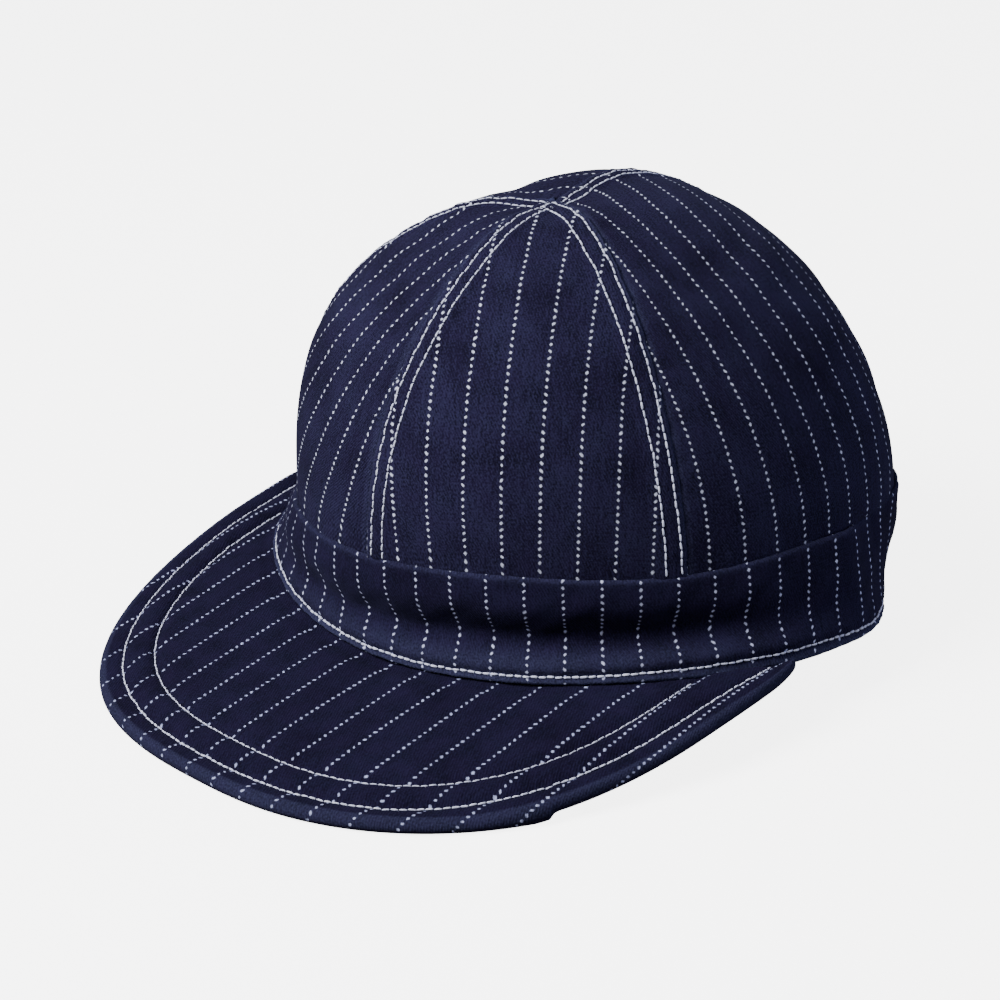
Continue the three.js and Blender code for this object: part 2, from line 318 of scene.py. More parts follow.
def sew_sheet(name, points, weave, wear_and_highlight, thickness, face, back):
    """A piece of cloth from a grid of outer points in mm, with its place in the weave as UVs in mm
    and how worn it is from 0 to 1, which on the band also carries a painted highlight."""
    quads = grid_quads(*points.shape[:2])
    mesh = bpy.data.meshes.new(name)
    mesh.from_pydata(((points + RING_CENTRE) * MM).reshape(-1, 3).tolist(), [], quads.tolist())
    uv = mesh.uv_layers.new(name="weave")
    uv.data.foreach_set("uv", weave.reshape(-1, 2)[quads.ravel()].ravel())
    mesh.attributes.new("wear_and_highlight", "FLOAT", "POINT").data.foreach_set("value", wear_and_highlight.ravel())
    piece = new_piece(name, mesh, face, back)
    bpy.ops.object.select_all(action="DESELECT")
    bpy.context.view_layer.objects.active = piece
    piece.select_set(True)
    wall = piece.modifiers.new("wall", "SOLIDIFY")
    wall.thickness = thickness * MM
    wall.offset = -1
    wall.material_offset = 1
    bpy.ops.object.modifier_apply(modifier=wall.name)
    return piece


def foot_height(azimuth):
    """The height of the band's foot. It stands on the table at the back."""
    return np.maximum(0, around(BAND_SHAPE, BAND_COLUMNS, "foot_height", azimuth))


def side_fold(azimuth):
    """How far the wearer's left side of the band folds in behind its corner, at its foot."""
    turn = np.mod(azimuth, 360)
    inwards = smooth(SIDE_FOLD["azimuth"], SIDE_FOLD["deepest"], turn)
    return SIDE_FOLD["depth"] * inwards * (1 - smooth(SIDE_FOLD["deepest"], SIDE_FOLD["end"], turn))


def band_point(azimuth, down):
    """The band's outer face, from its top seam (down = 0) to its foot (down = 1)."""
    top_radius = around(BAND_SHAPE, BAND_COLUMNS, "top_radius", azimuth) + BAND_PROUD
    foot_radius = around(BAND_SHAPE, BAND_COLUMNS, "foot_radius", azimuth)
    top_height = around(BAND_SHAPE, BAND_COLUMNS, "top_height", azimuth) - SEAM_GAP
    crease = np.maximum(0, around(BAND_SHAPE, BAND_COLUMNS, "crease", azimuth))
    crease = crease * bump_at(down, CREASE_LEVEL, CREASE_SPREAD)
    radius = top_radius + (foot_radius - top_radius) * down - crease - side_fold(azimuth) * down
    return on_circle(azimuth, radius, top_height + (foot_height(azimuth) - top_height) * down)


# The strip starts and ends at the middle of the back, where its two ends are joined
azimuth, down = np.meshgrid(
    np.linspace(-180, 180, int(BAND_AROUND / CLOTH_STEP)), np.linspace(1, 0, BAND_ROWS),
    indexing="ij",
)
band_face = band_point(azimuth, down)
foot_length = lengths_along(band_face, 0)[:, 0]
top_length = lengths_along(band_face, 0)[:, -1]
foot_length -= np.interp(0, azimuth[:, 0], foot_length)
top_length -= np.interp(0, azimuth[:, 0], top_length)
up_the_band = lengths_along(band_face, 1)
strip_length = foot_length[:, None] * down + top_length[:, None] * (1 - down)
from_top = up_the_band[:, -1:] - up_the_band

# Relief in mm at each of these azimuths, where the wearer's left side turns in behind a corner
SIDE_CORNER = {
    86: 0, 93: 0.4, 98: 1.7, 101: 0.6, 105: -1.4, 111: -2.6, 118: -1.5, 125: 0.7, 134: 0.6, 148: 0,
}


def side_corner(azimuth, down):
    """The sharp corner at the wearer's left, and the swell behind it, which is highest above."""
    relief = np.interp(azimuth, list(SIDE_CORNER), list(SIDE_CORNER.values())) * (1 - 0.8 * down)
    return relief + 1.5 * bump_at(azimuth, 129, 10) * bump_at(down, 0.34, 0.21)


# The cloth bellies out over the crease, tucks in sharply at it, and its foot flares. Each bump
# has a middle and a reach, in degrees round the band or as a share of the way down it.
in_front = bump_at(azimuth, 8, 62)
at_the_left = bump_at(azimuth, 50, 26)
at_the_ends = bump_at(strip_length, strip_length[:1], 1.5)
at_the_ends += bump_at(strip_length, strip_length[-1:], 1.5)
belly = (0.9 + 0.5 * bump_at(azimuth, -30, 24)) * in_front * bump_at(down, 0.32, 0.19)
tuck = -(1.2 + 0.8 * at_the_left) * bump_at(azimuth, 22, 48) * bump_at(down, 0.62, 0.09)
flare = 1.1 * bump_at(azimuth, 60, 26) * bump_at(down, 0.8, 0.1)
edge_roll = rolled_edge(up_the_band, FOOT_ROLL) + rolled_edge(from_top, TOP_ROLL)
row_dip = -0.5 * bump_at(up_the_band, HEM_ROW, 0.8)
hem_swell = 0.4 * bump_at(up_the_band, 1.3, 1.0) + 0.3 * bump_at(up_the_band, 5, 1.6)
hem_pucker = 0.2 * ripple(strip_length, 7.5, 0.4) * bump_at(up_the_band, HEM_ROW, 4.5)
top_pucker = 0.16 * ripple(strip_length, 11, 2.1) * bump_at(from_top, 0, 6)
slack = 0.45 * ripple(strip_length + 0.6 * up_the_band, 61, 1.2) * np.sin(np.pi * down)
lean = 0.25 * ripple(strip_length - 1.3 * up_the_band, 23, 4.0) * np.sin(np.pi * down)
back_join = -0.7 * at_the_ends
band_relief = belly + tuck + flare + side_corner(azimuth, down) + edge_roll + row_dip + hem_swell
band_relief += hem_pucker + top_pucker + slack + lean + back_join
band_face = band_face + outward(band_face) * band_relief[..., None]
hem_droop = 1.3 * bump_at(azimuth, 76, 20) * smooth(4.5, 0.5, up_the_band)
band_face[..., 2] = np.maximum(band_face[..., 2] - hem_droop, 0)
band_weave = np.stack([strip_length - BAND_FIRST_STRIPE * STRIPE_SPACING, up_the_band], -1)
# Rubbed paler at the rolled foot and at the top edge
band_wear_and_highlight = 0.8 * bump_at(up_the_band, 0.6, 1.6) + 0.25 * bump_at(from_top, 0, 1.5)
# A painted highlight on the front of the lip above the hem row, where it faces up into the light,
# added to the rubbed values
band_wear_and_highlight += 0.35 * bump_at(azimuth, 25, 50) * bump_at(up_the_band, 6.5, 3.5)

head_band = sew_sheet(
    "head_band_twill", band_face, band_weave, band_wear_and_highlight, BAND_WALL, band_twill, twill_reverse,
)
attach(head_band, "root")
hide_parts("head_band")

# Stitching
# Lock stitches of thick pale cotton thread, about ten to the inch, sewn by machine through all
# the layers. Each shows as a short plump loop whose ends dive into the cloth.

# In mm, apart from the share of its length that a stitch fills, the thread's depth as a share of
# its width, and how much thicker the hem's thread is
STITCH_LENGTH = 2.45
STITCH_SHARE = 0.94
THREAD_WIDTH = 0.62
THREAD_DEPTH = 0.8
THREAD_ABOVE = 0.18
STITCH_DIVE = 0.18
HEM_THREAD = 1.16

# Mercerised cotton sewing thread: pale, a little uneven where it is worn, slightly glossy, and
# ribbed by its plies. The slanted ribs are drawn 1.4 mm apart, because real ones are too fine.
thread, thread_surface = new_material("pale_cotton_thread", {"Roughness": 0.6, "Sheen Weight": 0.2})
add = partial(add_node, thread)
place = add("UVMap", uv_map="thread")
plies = add(
    "TexWave", links={"Vector": place, "Scale": 0.32, "Distortion": 0.6}, output="Fac",
    bands_direction="DIAGONAL",
)
worn = add(
    "TexNoise", links={"Vector": place, "Scale": 0.5, "Detail": 2.0}, noise_dimensions="2D",
)
tint = {0: worn, 6: linear("#C8CDF2"), 7: linear("#ECEEFF")}
colour = add("Mix", links=tint, output=2, data_type="RGBA")
bump = add("Bump", links={"Height": plies, "Strength": 0.5, "Distance": 0.12 * MM})
thread.node_tree.links.new(colour, thread_surface.inputs["Base Color"])
thread.node_tree.links.new(bump, thread_surface.inputs["Normal"])

# One stitch, from a small sphere drawn out along X and bent down at both ends
bpy.ops.object.select_all(action="DESELECT")
bpy.ops.mesh.primitive_uv_sphere_add(
    segments=7, ring_count=8, radius=0.5, rotation=(0, math.pi / 2, 0),
)
bpy.ops.object.transform_apply(location=False, rotation=True, scale=False)
one_stitch = bpy.context.object
stitch_points = np.array([v.co for v in one_stitch.data.vertices])
stitch_faces = sorted(list(p.vertices) for p in one_stitch.data.polygons)
bpy.data.objects.remove(one_stitch)
along_stitch = np.clip(stitch_points[:, 0] * 2, -1, 1)
plump = (1 - along_stitch ** 4) ** 0.5 / np.maximum(np.sqrt(1 - along_stitch ** 2), 0.2)
stitch_shape = np.stack([
    along_stitch * STITCH_LENGTH * STITCH_SHARE / 2,
    stitch_points[:, 1] * THREAD_WIDTH * plump,
    stitch_points[:, 2] * THREAD_WIDTH * THREAD_DEPTH * plump - STITCH_DIVE * along_stitch ** 4,
], -1)
stitch_turn = np.arctan2(stitch_points[:, 2], stitch_points[:, 1])


def surface_tree(*grids):
    """A tree of the outer faces of one or more grids in mm, to lay thread on."""
    corners, faces = [], []
    for points in grids:
        faces.extend((grid_quads(*points.shape[:2]) + len(corners)).tolist())
        corners.extend(points.reshape(-1, 3).tolist())
    return BVHTree.FromPolygons(corners, faces)


def resample(path, step):
    """Points at even distances along a path, about one step apart."""
    distance = lengths_along(path, 0)
    count = max(2, int(round(distance[-1] / step)) + 1)
    even = np.linspace(0, distance[-1], count)
    return np.stack([np.interp(even, distance, path[:, k]) for k in range(3)], -1)


def sew_rows(name, paths, cloth_tree, seed, thickness=1.0):
    """Rows of stitches on the cloth, along paths in mm, joined as one mesh. Each stitch is turned,
    sized and placed a little unevenly."""
    spread = np.random.default_rng(seed)
    corners, faces, places = [], [], []
    for path in paths:
        holes = resample(path, STITCH_LENGTH)
        laid = []
        for hole in holes:
            spot, normal, _, _ = cloth_tree.find_nearest(Vector(hole))
            laid.append((np.array(spot), np.array(normal)))
        for number in range(len(laid) - 1):
            (start, up_a), (end, up_b) = laid[number], laid[number + 1]
            middle, middle_up, _, _ = cloth_tree.find_nearest(Vector((start + end) / 2))
            forward = (end - start) / np.linalg.norm(end - start)
            up = up_a + up_b + np.array(middle_up)
            side = np.cross(up, forward)
            side /= np.linalg.norm(side)
            up = np.cross(forward, side)
            yaw = spread.normal(0, 0.035)
            forward, side = forward + yaw * side, side - yaw * forward
            size = thickness + spread.normal(0, 0.05)
            origin = np.array(middle) + side * spread.normal(0, 0.08) + up * THREAD_ABOVE
            base = len(corners) * len(stitch_shape)
            axes = np.stack([forward, side * size, up * size])
            corners.append(origin + stitch_shape @ axes)
            faces.extend([[base + v for v in face] for face in stitch_faces])
            places.append(np.stack([
                stitch_shape[:, 0] + number * STITCH_LENGTH, stitch_turn * THREAD_WIDTH / 2,
            ], -1))
    mesh = bpy.data.meshes.new(name)
    mesh.from_pydata(((np.concatenate(corners) + RING_CENTRE) * MM).tolist(), [], faces)
    uv = mesh.uv_layers.new(name="thread")
    loops = np.array([v for face in faces for v in face])
    uv.data.foreach_set("uv", np.concatenate(places)[loops].ravel())
    rows = new_piece(name, mesh, thread)
    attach(rows, "root")


row_azimuth = np.linspace(-180, 180, 721)
band_height = np.interp(row_azimuth, azimuth[:, 0], up_the_band[:, -1])
hem_path = band_point(row_azimuth, 1 - HEM_ROW / band_height)
sew_rows("band_hem_stitching", [hem_path], surface_tree(band_face), 1, HEM_THREAD)

# Crown
# Four panels of the same twill, cut with their stripes along the grain. They meet in felled
# seams: the front and back seams are turned to the wearer's left and the side seams to the
# front, and each is held flat by two rows of stitching.

# The tip in mm, and how the crown leaves the band and rounds over to it, at each azimuth. Its
# front is hollow where it has slumped.
APEX = np.array([1.0, -14.0])
APEX_HEIGHT = 145
APEX_DIP = 6
APEX_DIP_RADIUS = 16
CROWN_COLUMNS = ("ease_in", "ease_up", "hollow")
CROWN_SHAPE = {
    0: (1.46, 0.73, 4.8),
    60: (1.12, 0.87, 7.4),
    120: (0.86, 1.21, 1.7),
    180: (0.86, 1.32, -1.8),
    240: (1.23, 1.37, -0.8),
    300: (1.62, 0.64, 0.1),
}

# The panels: their cloth, how many percent they swell between their seams, and their grids
CROWN_CLOTH = 1.6
CROWN_WALL = CROWN_CLOTH - 0.2
PANEL_FULLNESS = 1.2
PANEL_ROWS = 120
PANEL_ROUND = 1.66
CLIMB_EASE = 0.9
APEX_HOLE = 0.3

# The folded side of a seam: its flap's width past the outer row, its rise and its rolled edge
FLAP_BEYOND_ROW = 1.7
FLAP_RISE = 0.8
SEAM_FOLD = 1.0

# What lies under the next panel: its width in mm and as the most of a panel's width, how many
# points in from the edge its direction is taken, the width of panel at which it steps down by
# a whole cloth, the share of a full strip that is left as it narrows, and the steps in which it
# goes out and down, as shares of its width and of one cloth
SEAM_ALLOWANCE = 4
ALLOWANCE_SHARE = 0.3
ALLOWANCE_FROM = 4
ALLOWANCE_WHOLE = 12
ALLOWANCE_FILL = 0.9
ALLOWANCE_STEPS = ((1.0, 1.0), (0.55, 0.97), (0.15, 0.8))

# The foot that the band hides: its depth in mm and as a share of the band, and its gap to it
TUCK_DEPTH = 3
TUCK_DOWN = 0.07
TUCK_BEHIND = 0.1

# Each seam: its azimuth, and how far from it its two rows of stitching lie
SEAMS = {
    "front": {"azimuth": 0, "rows": (2.9, 7.0)},
    "left": {"azimuth": 62.5, "rows": (2.1, 6.9)},
    "back": {"azimuth": 180, "rows": (2.9, 7.0)},
    "right": {"azimuth": 301.5, "rows": (2.0, 6.8)},
}

# Each panel: the seams at its start and end, which of its two edges is folded over, which way
# its stripes count, how far its grain leans in degrees, and where its first stripe lies. The
# stretch is how many stripe spacings the cloth was eased sideways when it was sewn: one row
# each for its start, middle and end, with values from its base to the apex. The two back panels
# mirror one another.
EASED_AT_SIDE = (-0.32, -0.13, 0.23, -0.44)
EASED_MIDDLE = (-0.49, 0.42, 1.35, -0.36)
EASED_AT_BACK = (0.24, -0.05, -0.17, 0.2)
PANELS = {
    "crown_front_left": {
        "seams": ("front", "left"), "folded": (True, True),
        "counts": 1, "lean": 1.6, "first_stripe": 0.86,
        "stretch": ((0.05, 0.07, -0.1, 0.04), (-0.07, 0, -0.04, 0), (0, 0.1, -0.06, 0)),
    },
    "crown_back_left": {
        "seams": ("left", "back"), "folded": (False, True),
        "counts": 1, "lean": -23, "first_stripe": -2.96,
        "stretch": (EASED_AT_SIDE, EASED_MIDDLE, EASED_AT_BACK),
    },
    "crown_back_right": {
        "seams": ("back", "right"), "folded": (False, False),
        "counts": -1, "lean": 23, "first_stripe": -2.96,
        "stretch": (EASED_AT_BACK, EASED_MIDDLE, EASED_AT_SIDE),
    },
    "crown_front_right": {
        "seams": ("right", "front"), "folded": (True, False),
        "counts": -1, "lean": -9.3, "first_stripe": -6.13,
        "stretch": ((-1.25, -0.02, -0.15, 0), (-0.05, 1.27, 0.66, 0), (0.75, 0, -0.19, -1.01)),
    },
}


def top_seam(azimuth):
    """Where the crown meets the band."""
    radius = around(BAND_SHAPE, BAND_COLUMNS, "top_radius", azimuth)
    return on_circle(azimuth, radius, around(BAND_SHAPE, BAND_COLUMNS, "top_height", azimuth))


def crown_point(azimuth, climb):
    """The crown's outer face, from the top seam (climb = 0) to the apex (climb = 1)."""
    azimuth, climb = np.broadcast_arrays(azimuth, climb)
    base = top_seam(azimuth)
    angle = climb * np.pi / 2
    to_base = base[..., :2] - APEX
    reach = np.hypot(to_base[..., 0], to_base[..., 1])
    hollow = around(CROWN_SHAPE, CROWN_COLUMNS, "hollow", azimuth)
    hollow = hollow * np.sin(2 * angle) * np.cos(angle)
    ease_in = around(CROWN_SHAPE, CROWN_COLUMNS, "ease_in", azimuth)
    ease_up = around(CROWN_SHAPE, CROWN_COLUMNS, "ease_up", azimuth)
    inwards = np.maximum(0, np.cos(angle)) ** ease_in - hollow / reach
    upwards = np.sin(angle) ** ease_up
    dip = APEX_DIP * np.exp(-((inwards * reach / APEX_DIP_RADIUS) ** 2))
    height = base[..., 2] + (APEX_HEIGHT - base[..., 2]) * upwards - dip
    return np.concatenate([APEX + inwards[..., None] * to_base, height[..., None]], -1)


def panel_point(start, end, share, climb):
    """A point of one panel: it swells a little between its seams and stops short of the apex."""
    azimuth = start + share * (end - start)
    points = crown_point(azimuth, climb)
    from_apex = points[..., :2] - APEX
    radius = np.linalg.norm(from_apex, axis=-1, keepdims=True)
    towards = top_seam(azimuth)[..., :2] - APEX
    towards /= np.linalg.norm(towards, axis=-1, keepdims=True)
    from_apex = np.where(radius < APEX_HOLE, towards * APEX_HOLE, from_apex)
    swell = 1 + PANEL_FULLNESS * np.sin(np.pi * share) * np.sin(np.pi * climb) / 100
    return np.concatenate([APEX + from_apex * swell[..., None], points[..., 2:]], -1)


def flat_pattern(points, rounds=60):
    """Lays a grid of points flat as the paper pattern it was cut from, changing its lengths as
    little as it can: each triangle is turned flat, and then all are joined by least squares."""
    columns, rows = points.shape[:2]
    quads = grid_quads(columns, rows)
    triangles = np.concatenate([quads[:, k] for k in ([0, 1, 2], [0, 2, 3], [0, 1, 3], [1, 2, 3])])
    corners = points.reshape(-1, 3)[triangles]
    first, second = corners[:, 1] - corners[:, 0], corners[:, 2] - corners[:, 0]
    normal = np.cross(first, second)
    real = np.linalg.norm(normal, axis=1) > 1e-6
    triangles, first, second, normal = triangles[real], first[real], second[real], normal[real]
    x_axis = first / np.linalg.norm(first, axis=1, keepdims=True)
    y_axis = np.cross(normal / np.linalg.norm(normal, axis=1, keepdims=True), x_axis)
    local = np.zeros((len(triangles), 3, 2))
    local[:, 1, 0] = (first * x_axis).sum(1)
    local[:, 2] = np.stack([(second * x_axis).sum(1), (second * y_axis).sum(1)], -1)
    sides = ((0, 1, 2), (1, 2, 0), (2, 0, 1))
    stiffness = np.eye(columns * rows) * 1e-7
    weights = []
    for a, b, c in sides:
        u, v = local[:, a] - local[:, c], local[:, b] - local[:, c]
        cross = np.abs(u[:, 0] * v[:, 1] - u[:, 1] * v[:, 0])
        weight = np.clip((u * v).sum(1) / cross, 0.02, 50) / 2
        weights.append(weight)
        for i, j, sign in ((a, a, 1), (b, b, 1), (a, b, -1), (b, a, -1)):
            np.add.at(stiffness, (triangles[:, i], triangles[:, j]), sign * weight)
    solve = np.linalg.inv(stiffness)
    across = lengths_along(points, 0)
    up = lengths_along(points, 1)[columns // 2]
    flat = np.stack([across - across[columns // 2], np.broadcast_to(up, across.shape)], -1)
    flat = flat.reshape(-1, 2)
    for _ in range(rounds):
        spread = np.zeros((len(triangles), 2, 2))
        for (a, b, _c), weight in zip(sides, weights):
            moved = flat[triangles[:, a]] - flat[triangles[:, b]]
            kept = (local[:, a] - local[:, b])[:, None]
            spread += weight[:, None, None] * moved[:, :, None] * kept
        left, _, right = np.linalg.svd(spread)
        left[:, :, 1] *= np.sign(np.linalg.det(left @ right))[:, None]
        turn = left @ right
        pull = np.zeros((columns * rows, 2))
        for (a, b, _c), weight in zip(sides, weights):
            side = np.einsum("tij,tj->ti", turn, local[:, a] - local[:, b]) * weight[:, None]
            np.add.at(pull, triangles[:, a], side)
            np.add.at(pull, triangles[:, b], -side)
        flat = solve @ pull
    return flat.reshape(columns, rows, 2)


PATTERN_GRID = 23
PATTERN_DEGREE = (7, 7)


def pattern_of(start, end):
    """The panel's flat pattern in mm as a smooth function of share and climb. The tip is 0, 0."""
    share, climb = np.meshgrid(
        np.linspace(0, 1, PATTERN_GRID), np.linspace(0, 1, PATTERN_GRID) ** CLIMB_EASE,
        indexing="ij",
    )
    flat = flat_pattern(panel_point(start, end, share, climb))
    flat -= flat[:, -1].mean(0)
    terms = np.polynomial.chebyshev.chebvander2d(
        (share * 2 - 1).ravel(), (climb * 2 - 1).ravel(), PATTERN_DEGREE,
    )
    fitted = np.linalg.lstsq(terms, flat.reshape(-1, 2), rcond=None)[0]

    def at(share, climb):
        terms = np.polynomial.chebyshev.chebvander2d(share * 2 - 1, climb * 2 - 1, PATTERN_DEGREE)
        return terms @ fitted

    return at, flat


def curve_through(values, place):
    """The polynomial that passes through evenly spaced values, for places from 0 to 1."""
    spots = np.linspace(0, 1, len(values))
    total = 0
    for spot, value in zip(spots, values):
        steps = [(place - other) / (spot - other) for other in spots[spots != spot]]
        total = total + value * np.prod(steps, axis=0)
    return total


def weave_of(panel, flat, share, climb):
    """Where each point of a panel lies in the weave, in mm across and along the stripes."""
    lean = math.radians(panel["lean"])
    across = flat[..., 0] * math.cos(lean) + flat[..., 1] * math.sin(lean)
    along = flat[..., 1] * math.cos(lean) - flat[..., 0] * math.sin(lean)
    eased = curve_through([curve_through(row, climb) for row in panel["stretch"]], share)
    stripes = panel["counts"] * across / STRIPE_SPACING + eased - panel["first_stripe"]
    return np.stack([stripes * STRIPE_SPACING, along], -1)


def seam_relief(distance, along, folded, rows, shift):
    """How far the cloth stands out beside a seam: a flap with two stitched dips on the side that
    is folded over, a ditch on the other, and small puckers across both."""
    pucker = 0.26 * ripple(along, 9.5, shift) * bump_at(distance, 0, 8)
    if not folded:
        return pucker * smooth(0, 2, distance) - 0.4 * bump_at(distance, 0, 1.8)
    flap_edge = rows[1] + FLAP_BEYOND_ROW
    flap = FLAP_RISE * (1 - smooth(flap_edge - 1.5, flap_edge + 1.5, distance))
    dips = sum(-0.45 * bump_at(distance, row, 0.75) for row in rows)
    return flap + rolled_edge(distance, SEAM_FOLD) + dips + pucker


def with_allowance(face, weave, wear_and_highlight, out):
    """Adds a seam's allowance along a panel's first edge: a strip that steps down by one cloth and
    lies under the next panel. It narrows towards the apex."""
    panel_width = lengths_along(face, 0)[-1][:, None]
    beyond = face[0] - face[ALLOWANCE_FROM]
    run = weave[0] - weave[ALLOWANCE_FROM]
    run = run / np.maximum(np.linalg.norm(beyond, axis=-1), 1e-9)[:, None]
    beyond -= (beyond * out).sum(-1, keepdims=True) * out
    beyond /= np.maximum(np.linalg.norm(beyond, axis=-1, keepdims=True), 1e-9)
    width = np.minimum(SEAM_ALLOWANCE, ALLOWANCE_SHARE * panel_width)
    step = CROWN_CLOTH * np.minimum(1, panel_width / ALLOWANCE_WHOLE)
    strip = [
        face[0] + beyond * width * reach - out * step * drop for reach, drop in ALLOWANCE_STEPS
    ]
    strip_weave = [weave[0] + run * width * reach for reach, _ in ALLOWANCE_STEPS]
    return (
        np.concatenate([strip, face]), np.concatenate([strip_weave, weave]),
        np.concatenate([[wear_and_highlight[0]] * len(strip), wear_and_highlight]),
    )


crown_twill = striped_twill("indigo_twill_crown", "#0D0D1B", "#2A2A46", "#E0E5FF")
panel_faces = {}
for number, (name, panel) in enumerate(PANELS.items()):
    first, last = (SEAMS[seam] for seam in panel["seams"])
    start, end = first["azimuth"], last["azimuth"] or 360
    columns = int(PANEL_ROUND * (end - start) / CLOTH_STEP) + 1
    share, climb = np.meshgrid(
        np.linspace(0, 1, columns), np.linspace(0, 1, PANEL_ROWS) ** CLIMB_EASE, indexing="ij",
    )
    face = panel_point(start, end, share, climb)
    from_start = lengths_along(face, 0)
    from_end = from_start[-1:] - from_start
    up_the_panel = lengths_along(face, 1)
    start_relief = seam_relief(
        from_start, up_the_panel, panel["folded"][0], first["rows"], 0.03 * start,
    )
    end_relief = seam_relief(from_end, up_the_panel, panel["folded"][1], last["rows"], 0.05 * end)
    nearer_end = smooth(-2.5, 2.5, from_start - from_end)
    relief = start_relief * (1 - nearer_end) + end_relief * nearer_end
    slump = 0.55 * ripple(from_start + 0.5 * up_the_panel, 47, 0.9 * number)
    slump += 0.4 * ripple(up_the_panel - 0.4 * from_start, 33, 1.9 * number)
    relief += slump * np.sin(np.pi * share) * np.sin(np.pi * climb)
    relief += 0.18 * ripple(from_start, 13, number) * bump_at(up_the_panel, 0, 7)
    face = face + outward(face) * relief[..., None]
    wear_and_highlight = 0.35 * bump_at(from_start, 0.5, 1.0) + 0.35 * bump_at(from_end, 0.5, 1.0)

    flat_at, cut = pattern_of(start, end)
    weave = weave_of(panel, flat_at(share, climb), share, climb)

    # An edge that isn't folded carries on under its neighbour
    out = outward(face)
    if not panel["folded"][0]:
        face, weave, wear_and_highlight = with_allowance(face, weave, wear_and_highlight, out[0])
    if not panel["folded"][1]:
        turned = with_allowance(face[::-1], weave[::-1], wear_and_highlight[::-1], out[-1])
        face, weave, wear_and_highlight = (grid[::-1] for grid in turned)

    # The foot of the panel is tucked behind the band, and pressed against it
    base = face[:, :1]
    level_out = base * (1, 1, 0) / np.linalg.norm(base[..., :2], axis=-1, keepdims=True)
    azimuth = np.degrees(np.arctan2(base[..., :1], -base[..., 1:2]))
    outwards = side_corner(azimuth, TUCK_DOWN) - TUCK_BEHIND
    tucked = base + level_out * outwards - (0, 0, TUCK_DEPTH)
    face = np.concatenate([tucked, face], 1)
    weave = np.concatenate([weave[:, :1] - (0, TUCK_DEPTH), weave], 1)
    wear_and_highlight = np.concatenate([wear_and_highlight[:, :1], wear_and_highlight], 1)
    panel_faces[name] = face
    piece = sew_sheet(name + "_twill", face, weave, wear_and_highlight, CROWN_WALL, crown_twill, twill_reverse)
    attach(piece, "root")
    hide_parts(name)

    # The cut panel, with its seam allowances and the one that the band hides
    width, length = np.ptp(cut.reshape(-1, 2), axis=0)
    allowances = SEAM_ALLOWANCE * panel["folded"].count(False)
    rim = np.concatenate([cut[:, 0], cut[-1], cut[::-1, -1], cut[0, ::-1]])
    x, y = rim[:, 0], rim[:, 1]
    cut_area = abs(np.dot(x, np.roll(y, -1)) - np.dot(y, np.roll(x, -1))) / 2
    cut_area += TUCK_DEPTH * width + ALLOWANCE_FILL * allowances * length

crown_tree = surface_tree(*panel_faces.values())
climb = np.linspace(0, 1, 220)
seam_line = {name: crown_point(float(seam["azimuth"]), climb) for name, seam in SEAMS.items()}


def sideways(name):
    """The level direction that crosses a seam, towards larger azimuths."""
    out = seam_line[name][0, :2] - APEX
    out /= np.linalg.norm(out)
    return np.array([-out[1], out[0], 0])


# The front and back seams are sewn as one, over the top. The rows of the left seam end at the
# nearer row of that long seam, and those of the right seam end beside the apex.
over_the_top = np.concatenate([seam_line["front"], seam_line["back"][::-1]])
long_rows = [over_the_top + (row, 0, 0) for row in SEAMS["front"]["rows"]]
left_line = np.concatenate([seam_line["left"], seam_line["right"][:-12:-1]])
left_rows = [left_line - sideways("left") * row for row in SEAMS["left"]["rows"]]
left_rows = [line[line[:, 0] > APEX[0] + SEAMS["front"]["rows"][0]] for line in left_rows]
right_rows = [seam_line["right"] + sideways("right") * row for row in SEAMS["right"]["rows"]]
right_rows = [line[line[:, 0] < APEX[0] - 0.5] for line in right_rows]
sew_rows("crown_long_seam_stitching", long_rows, crown_tree, 2)
sew_rows("crown_left_seam_stitching", left_rows, crown_tree, 3)
sew_rows("crown_right_seam_stitching", right_rows, crown_tree, 4)

# Peak
# Two layers of the twill over a stiff padding, turned at the edge and quilted by two rows of
# stitching that follow it, so that the cloth swells between the rows.

# Its outline in plan, a squarish oval whose ends are rounded in to the band
PEAK_SQUARENESS = 2.4
PEAK_END_ANGLE = 102.4
PEAK_ROUND_FROM = 0.87
PEAK_ATTACH_AZIMUTH = 77
PEAK_BEYOND_BAND = 2
PEAK_CLEAR_OF_BAND = 0.6
PEAK_UNDER_BAND = 5

# How it slopes, and over how many mm the band holds it up
PEAK_SLOPE = {"height": 40.3, "fall": 0.232, "arch": 0.00096, "lean": 0.014}
PEAK_HELD_OVER = 24

# Its padding: the thickness, and the share of it left at the ends, which thin over 16 mm. Then
# how far from the edge the rows lie, the swell of the channels from the edge in, and the dip
# at each row.
PEAK_THICKNESS = 3.8
PEAK_END_THICKNESS = 0.4
PEAK_THINS_OVER = 16
PEAK_ROWS = (7.5, 17.4)
PEAK_CHANNELS = (1.1, 1.7, 1.1)
PEAK_DITCH = 0.4

# Its edge: how much fuller the front of it is, how much lower that hangs, and where it is nipped
PEAK_FULLER = 1.1
PEAK_HANGS = 1.8
PEAK_NIP = (0.472, 0.482)

# Its cloth: the rubbed edge, the first stripe, and how far it was stretched over the padding
PEAK_WEAR = 0.3
PEAK_FIRST_STRIPE = 0.69
PEAK_CLOTH_STRETCH = 1.02

# Its grid: points along it, the reach and spacing in mm of its rows near the edge, and the rows
# behind them
PEAK_COLUMNS = 320
PEAK_NEAR_EDGE = 21
PEAK_STEP = 0.75
PEAK_INNER_ROWS = 33


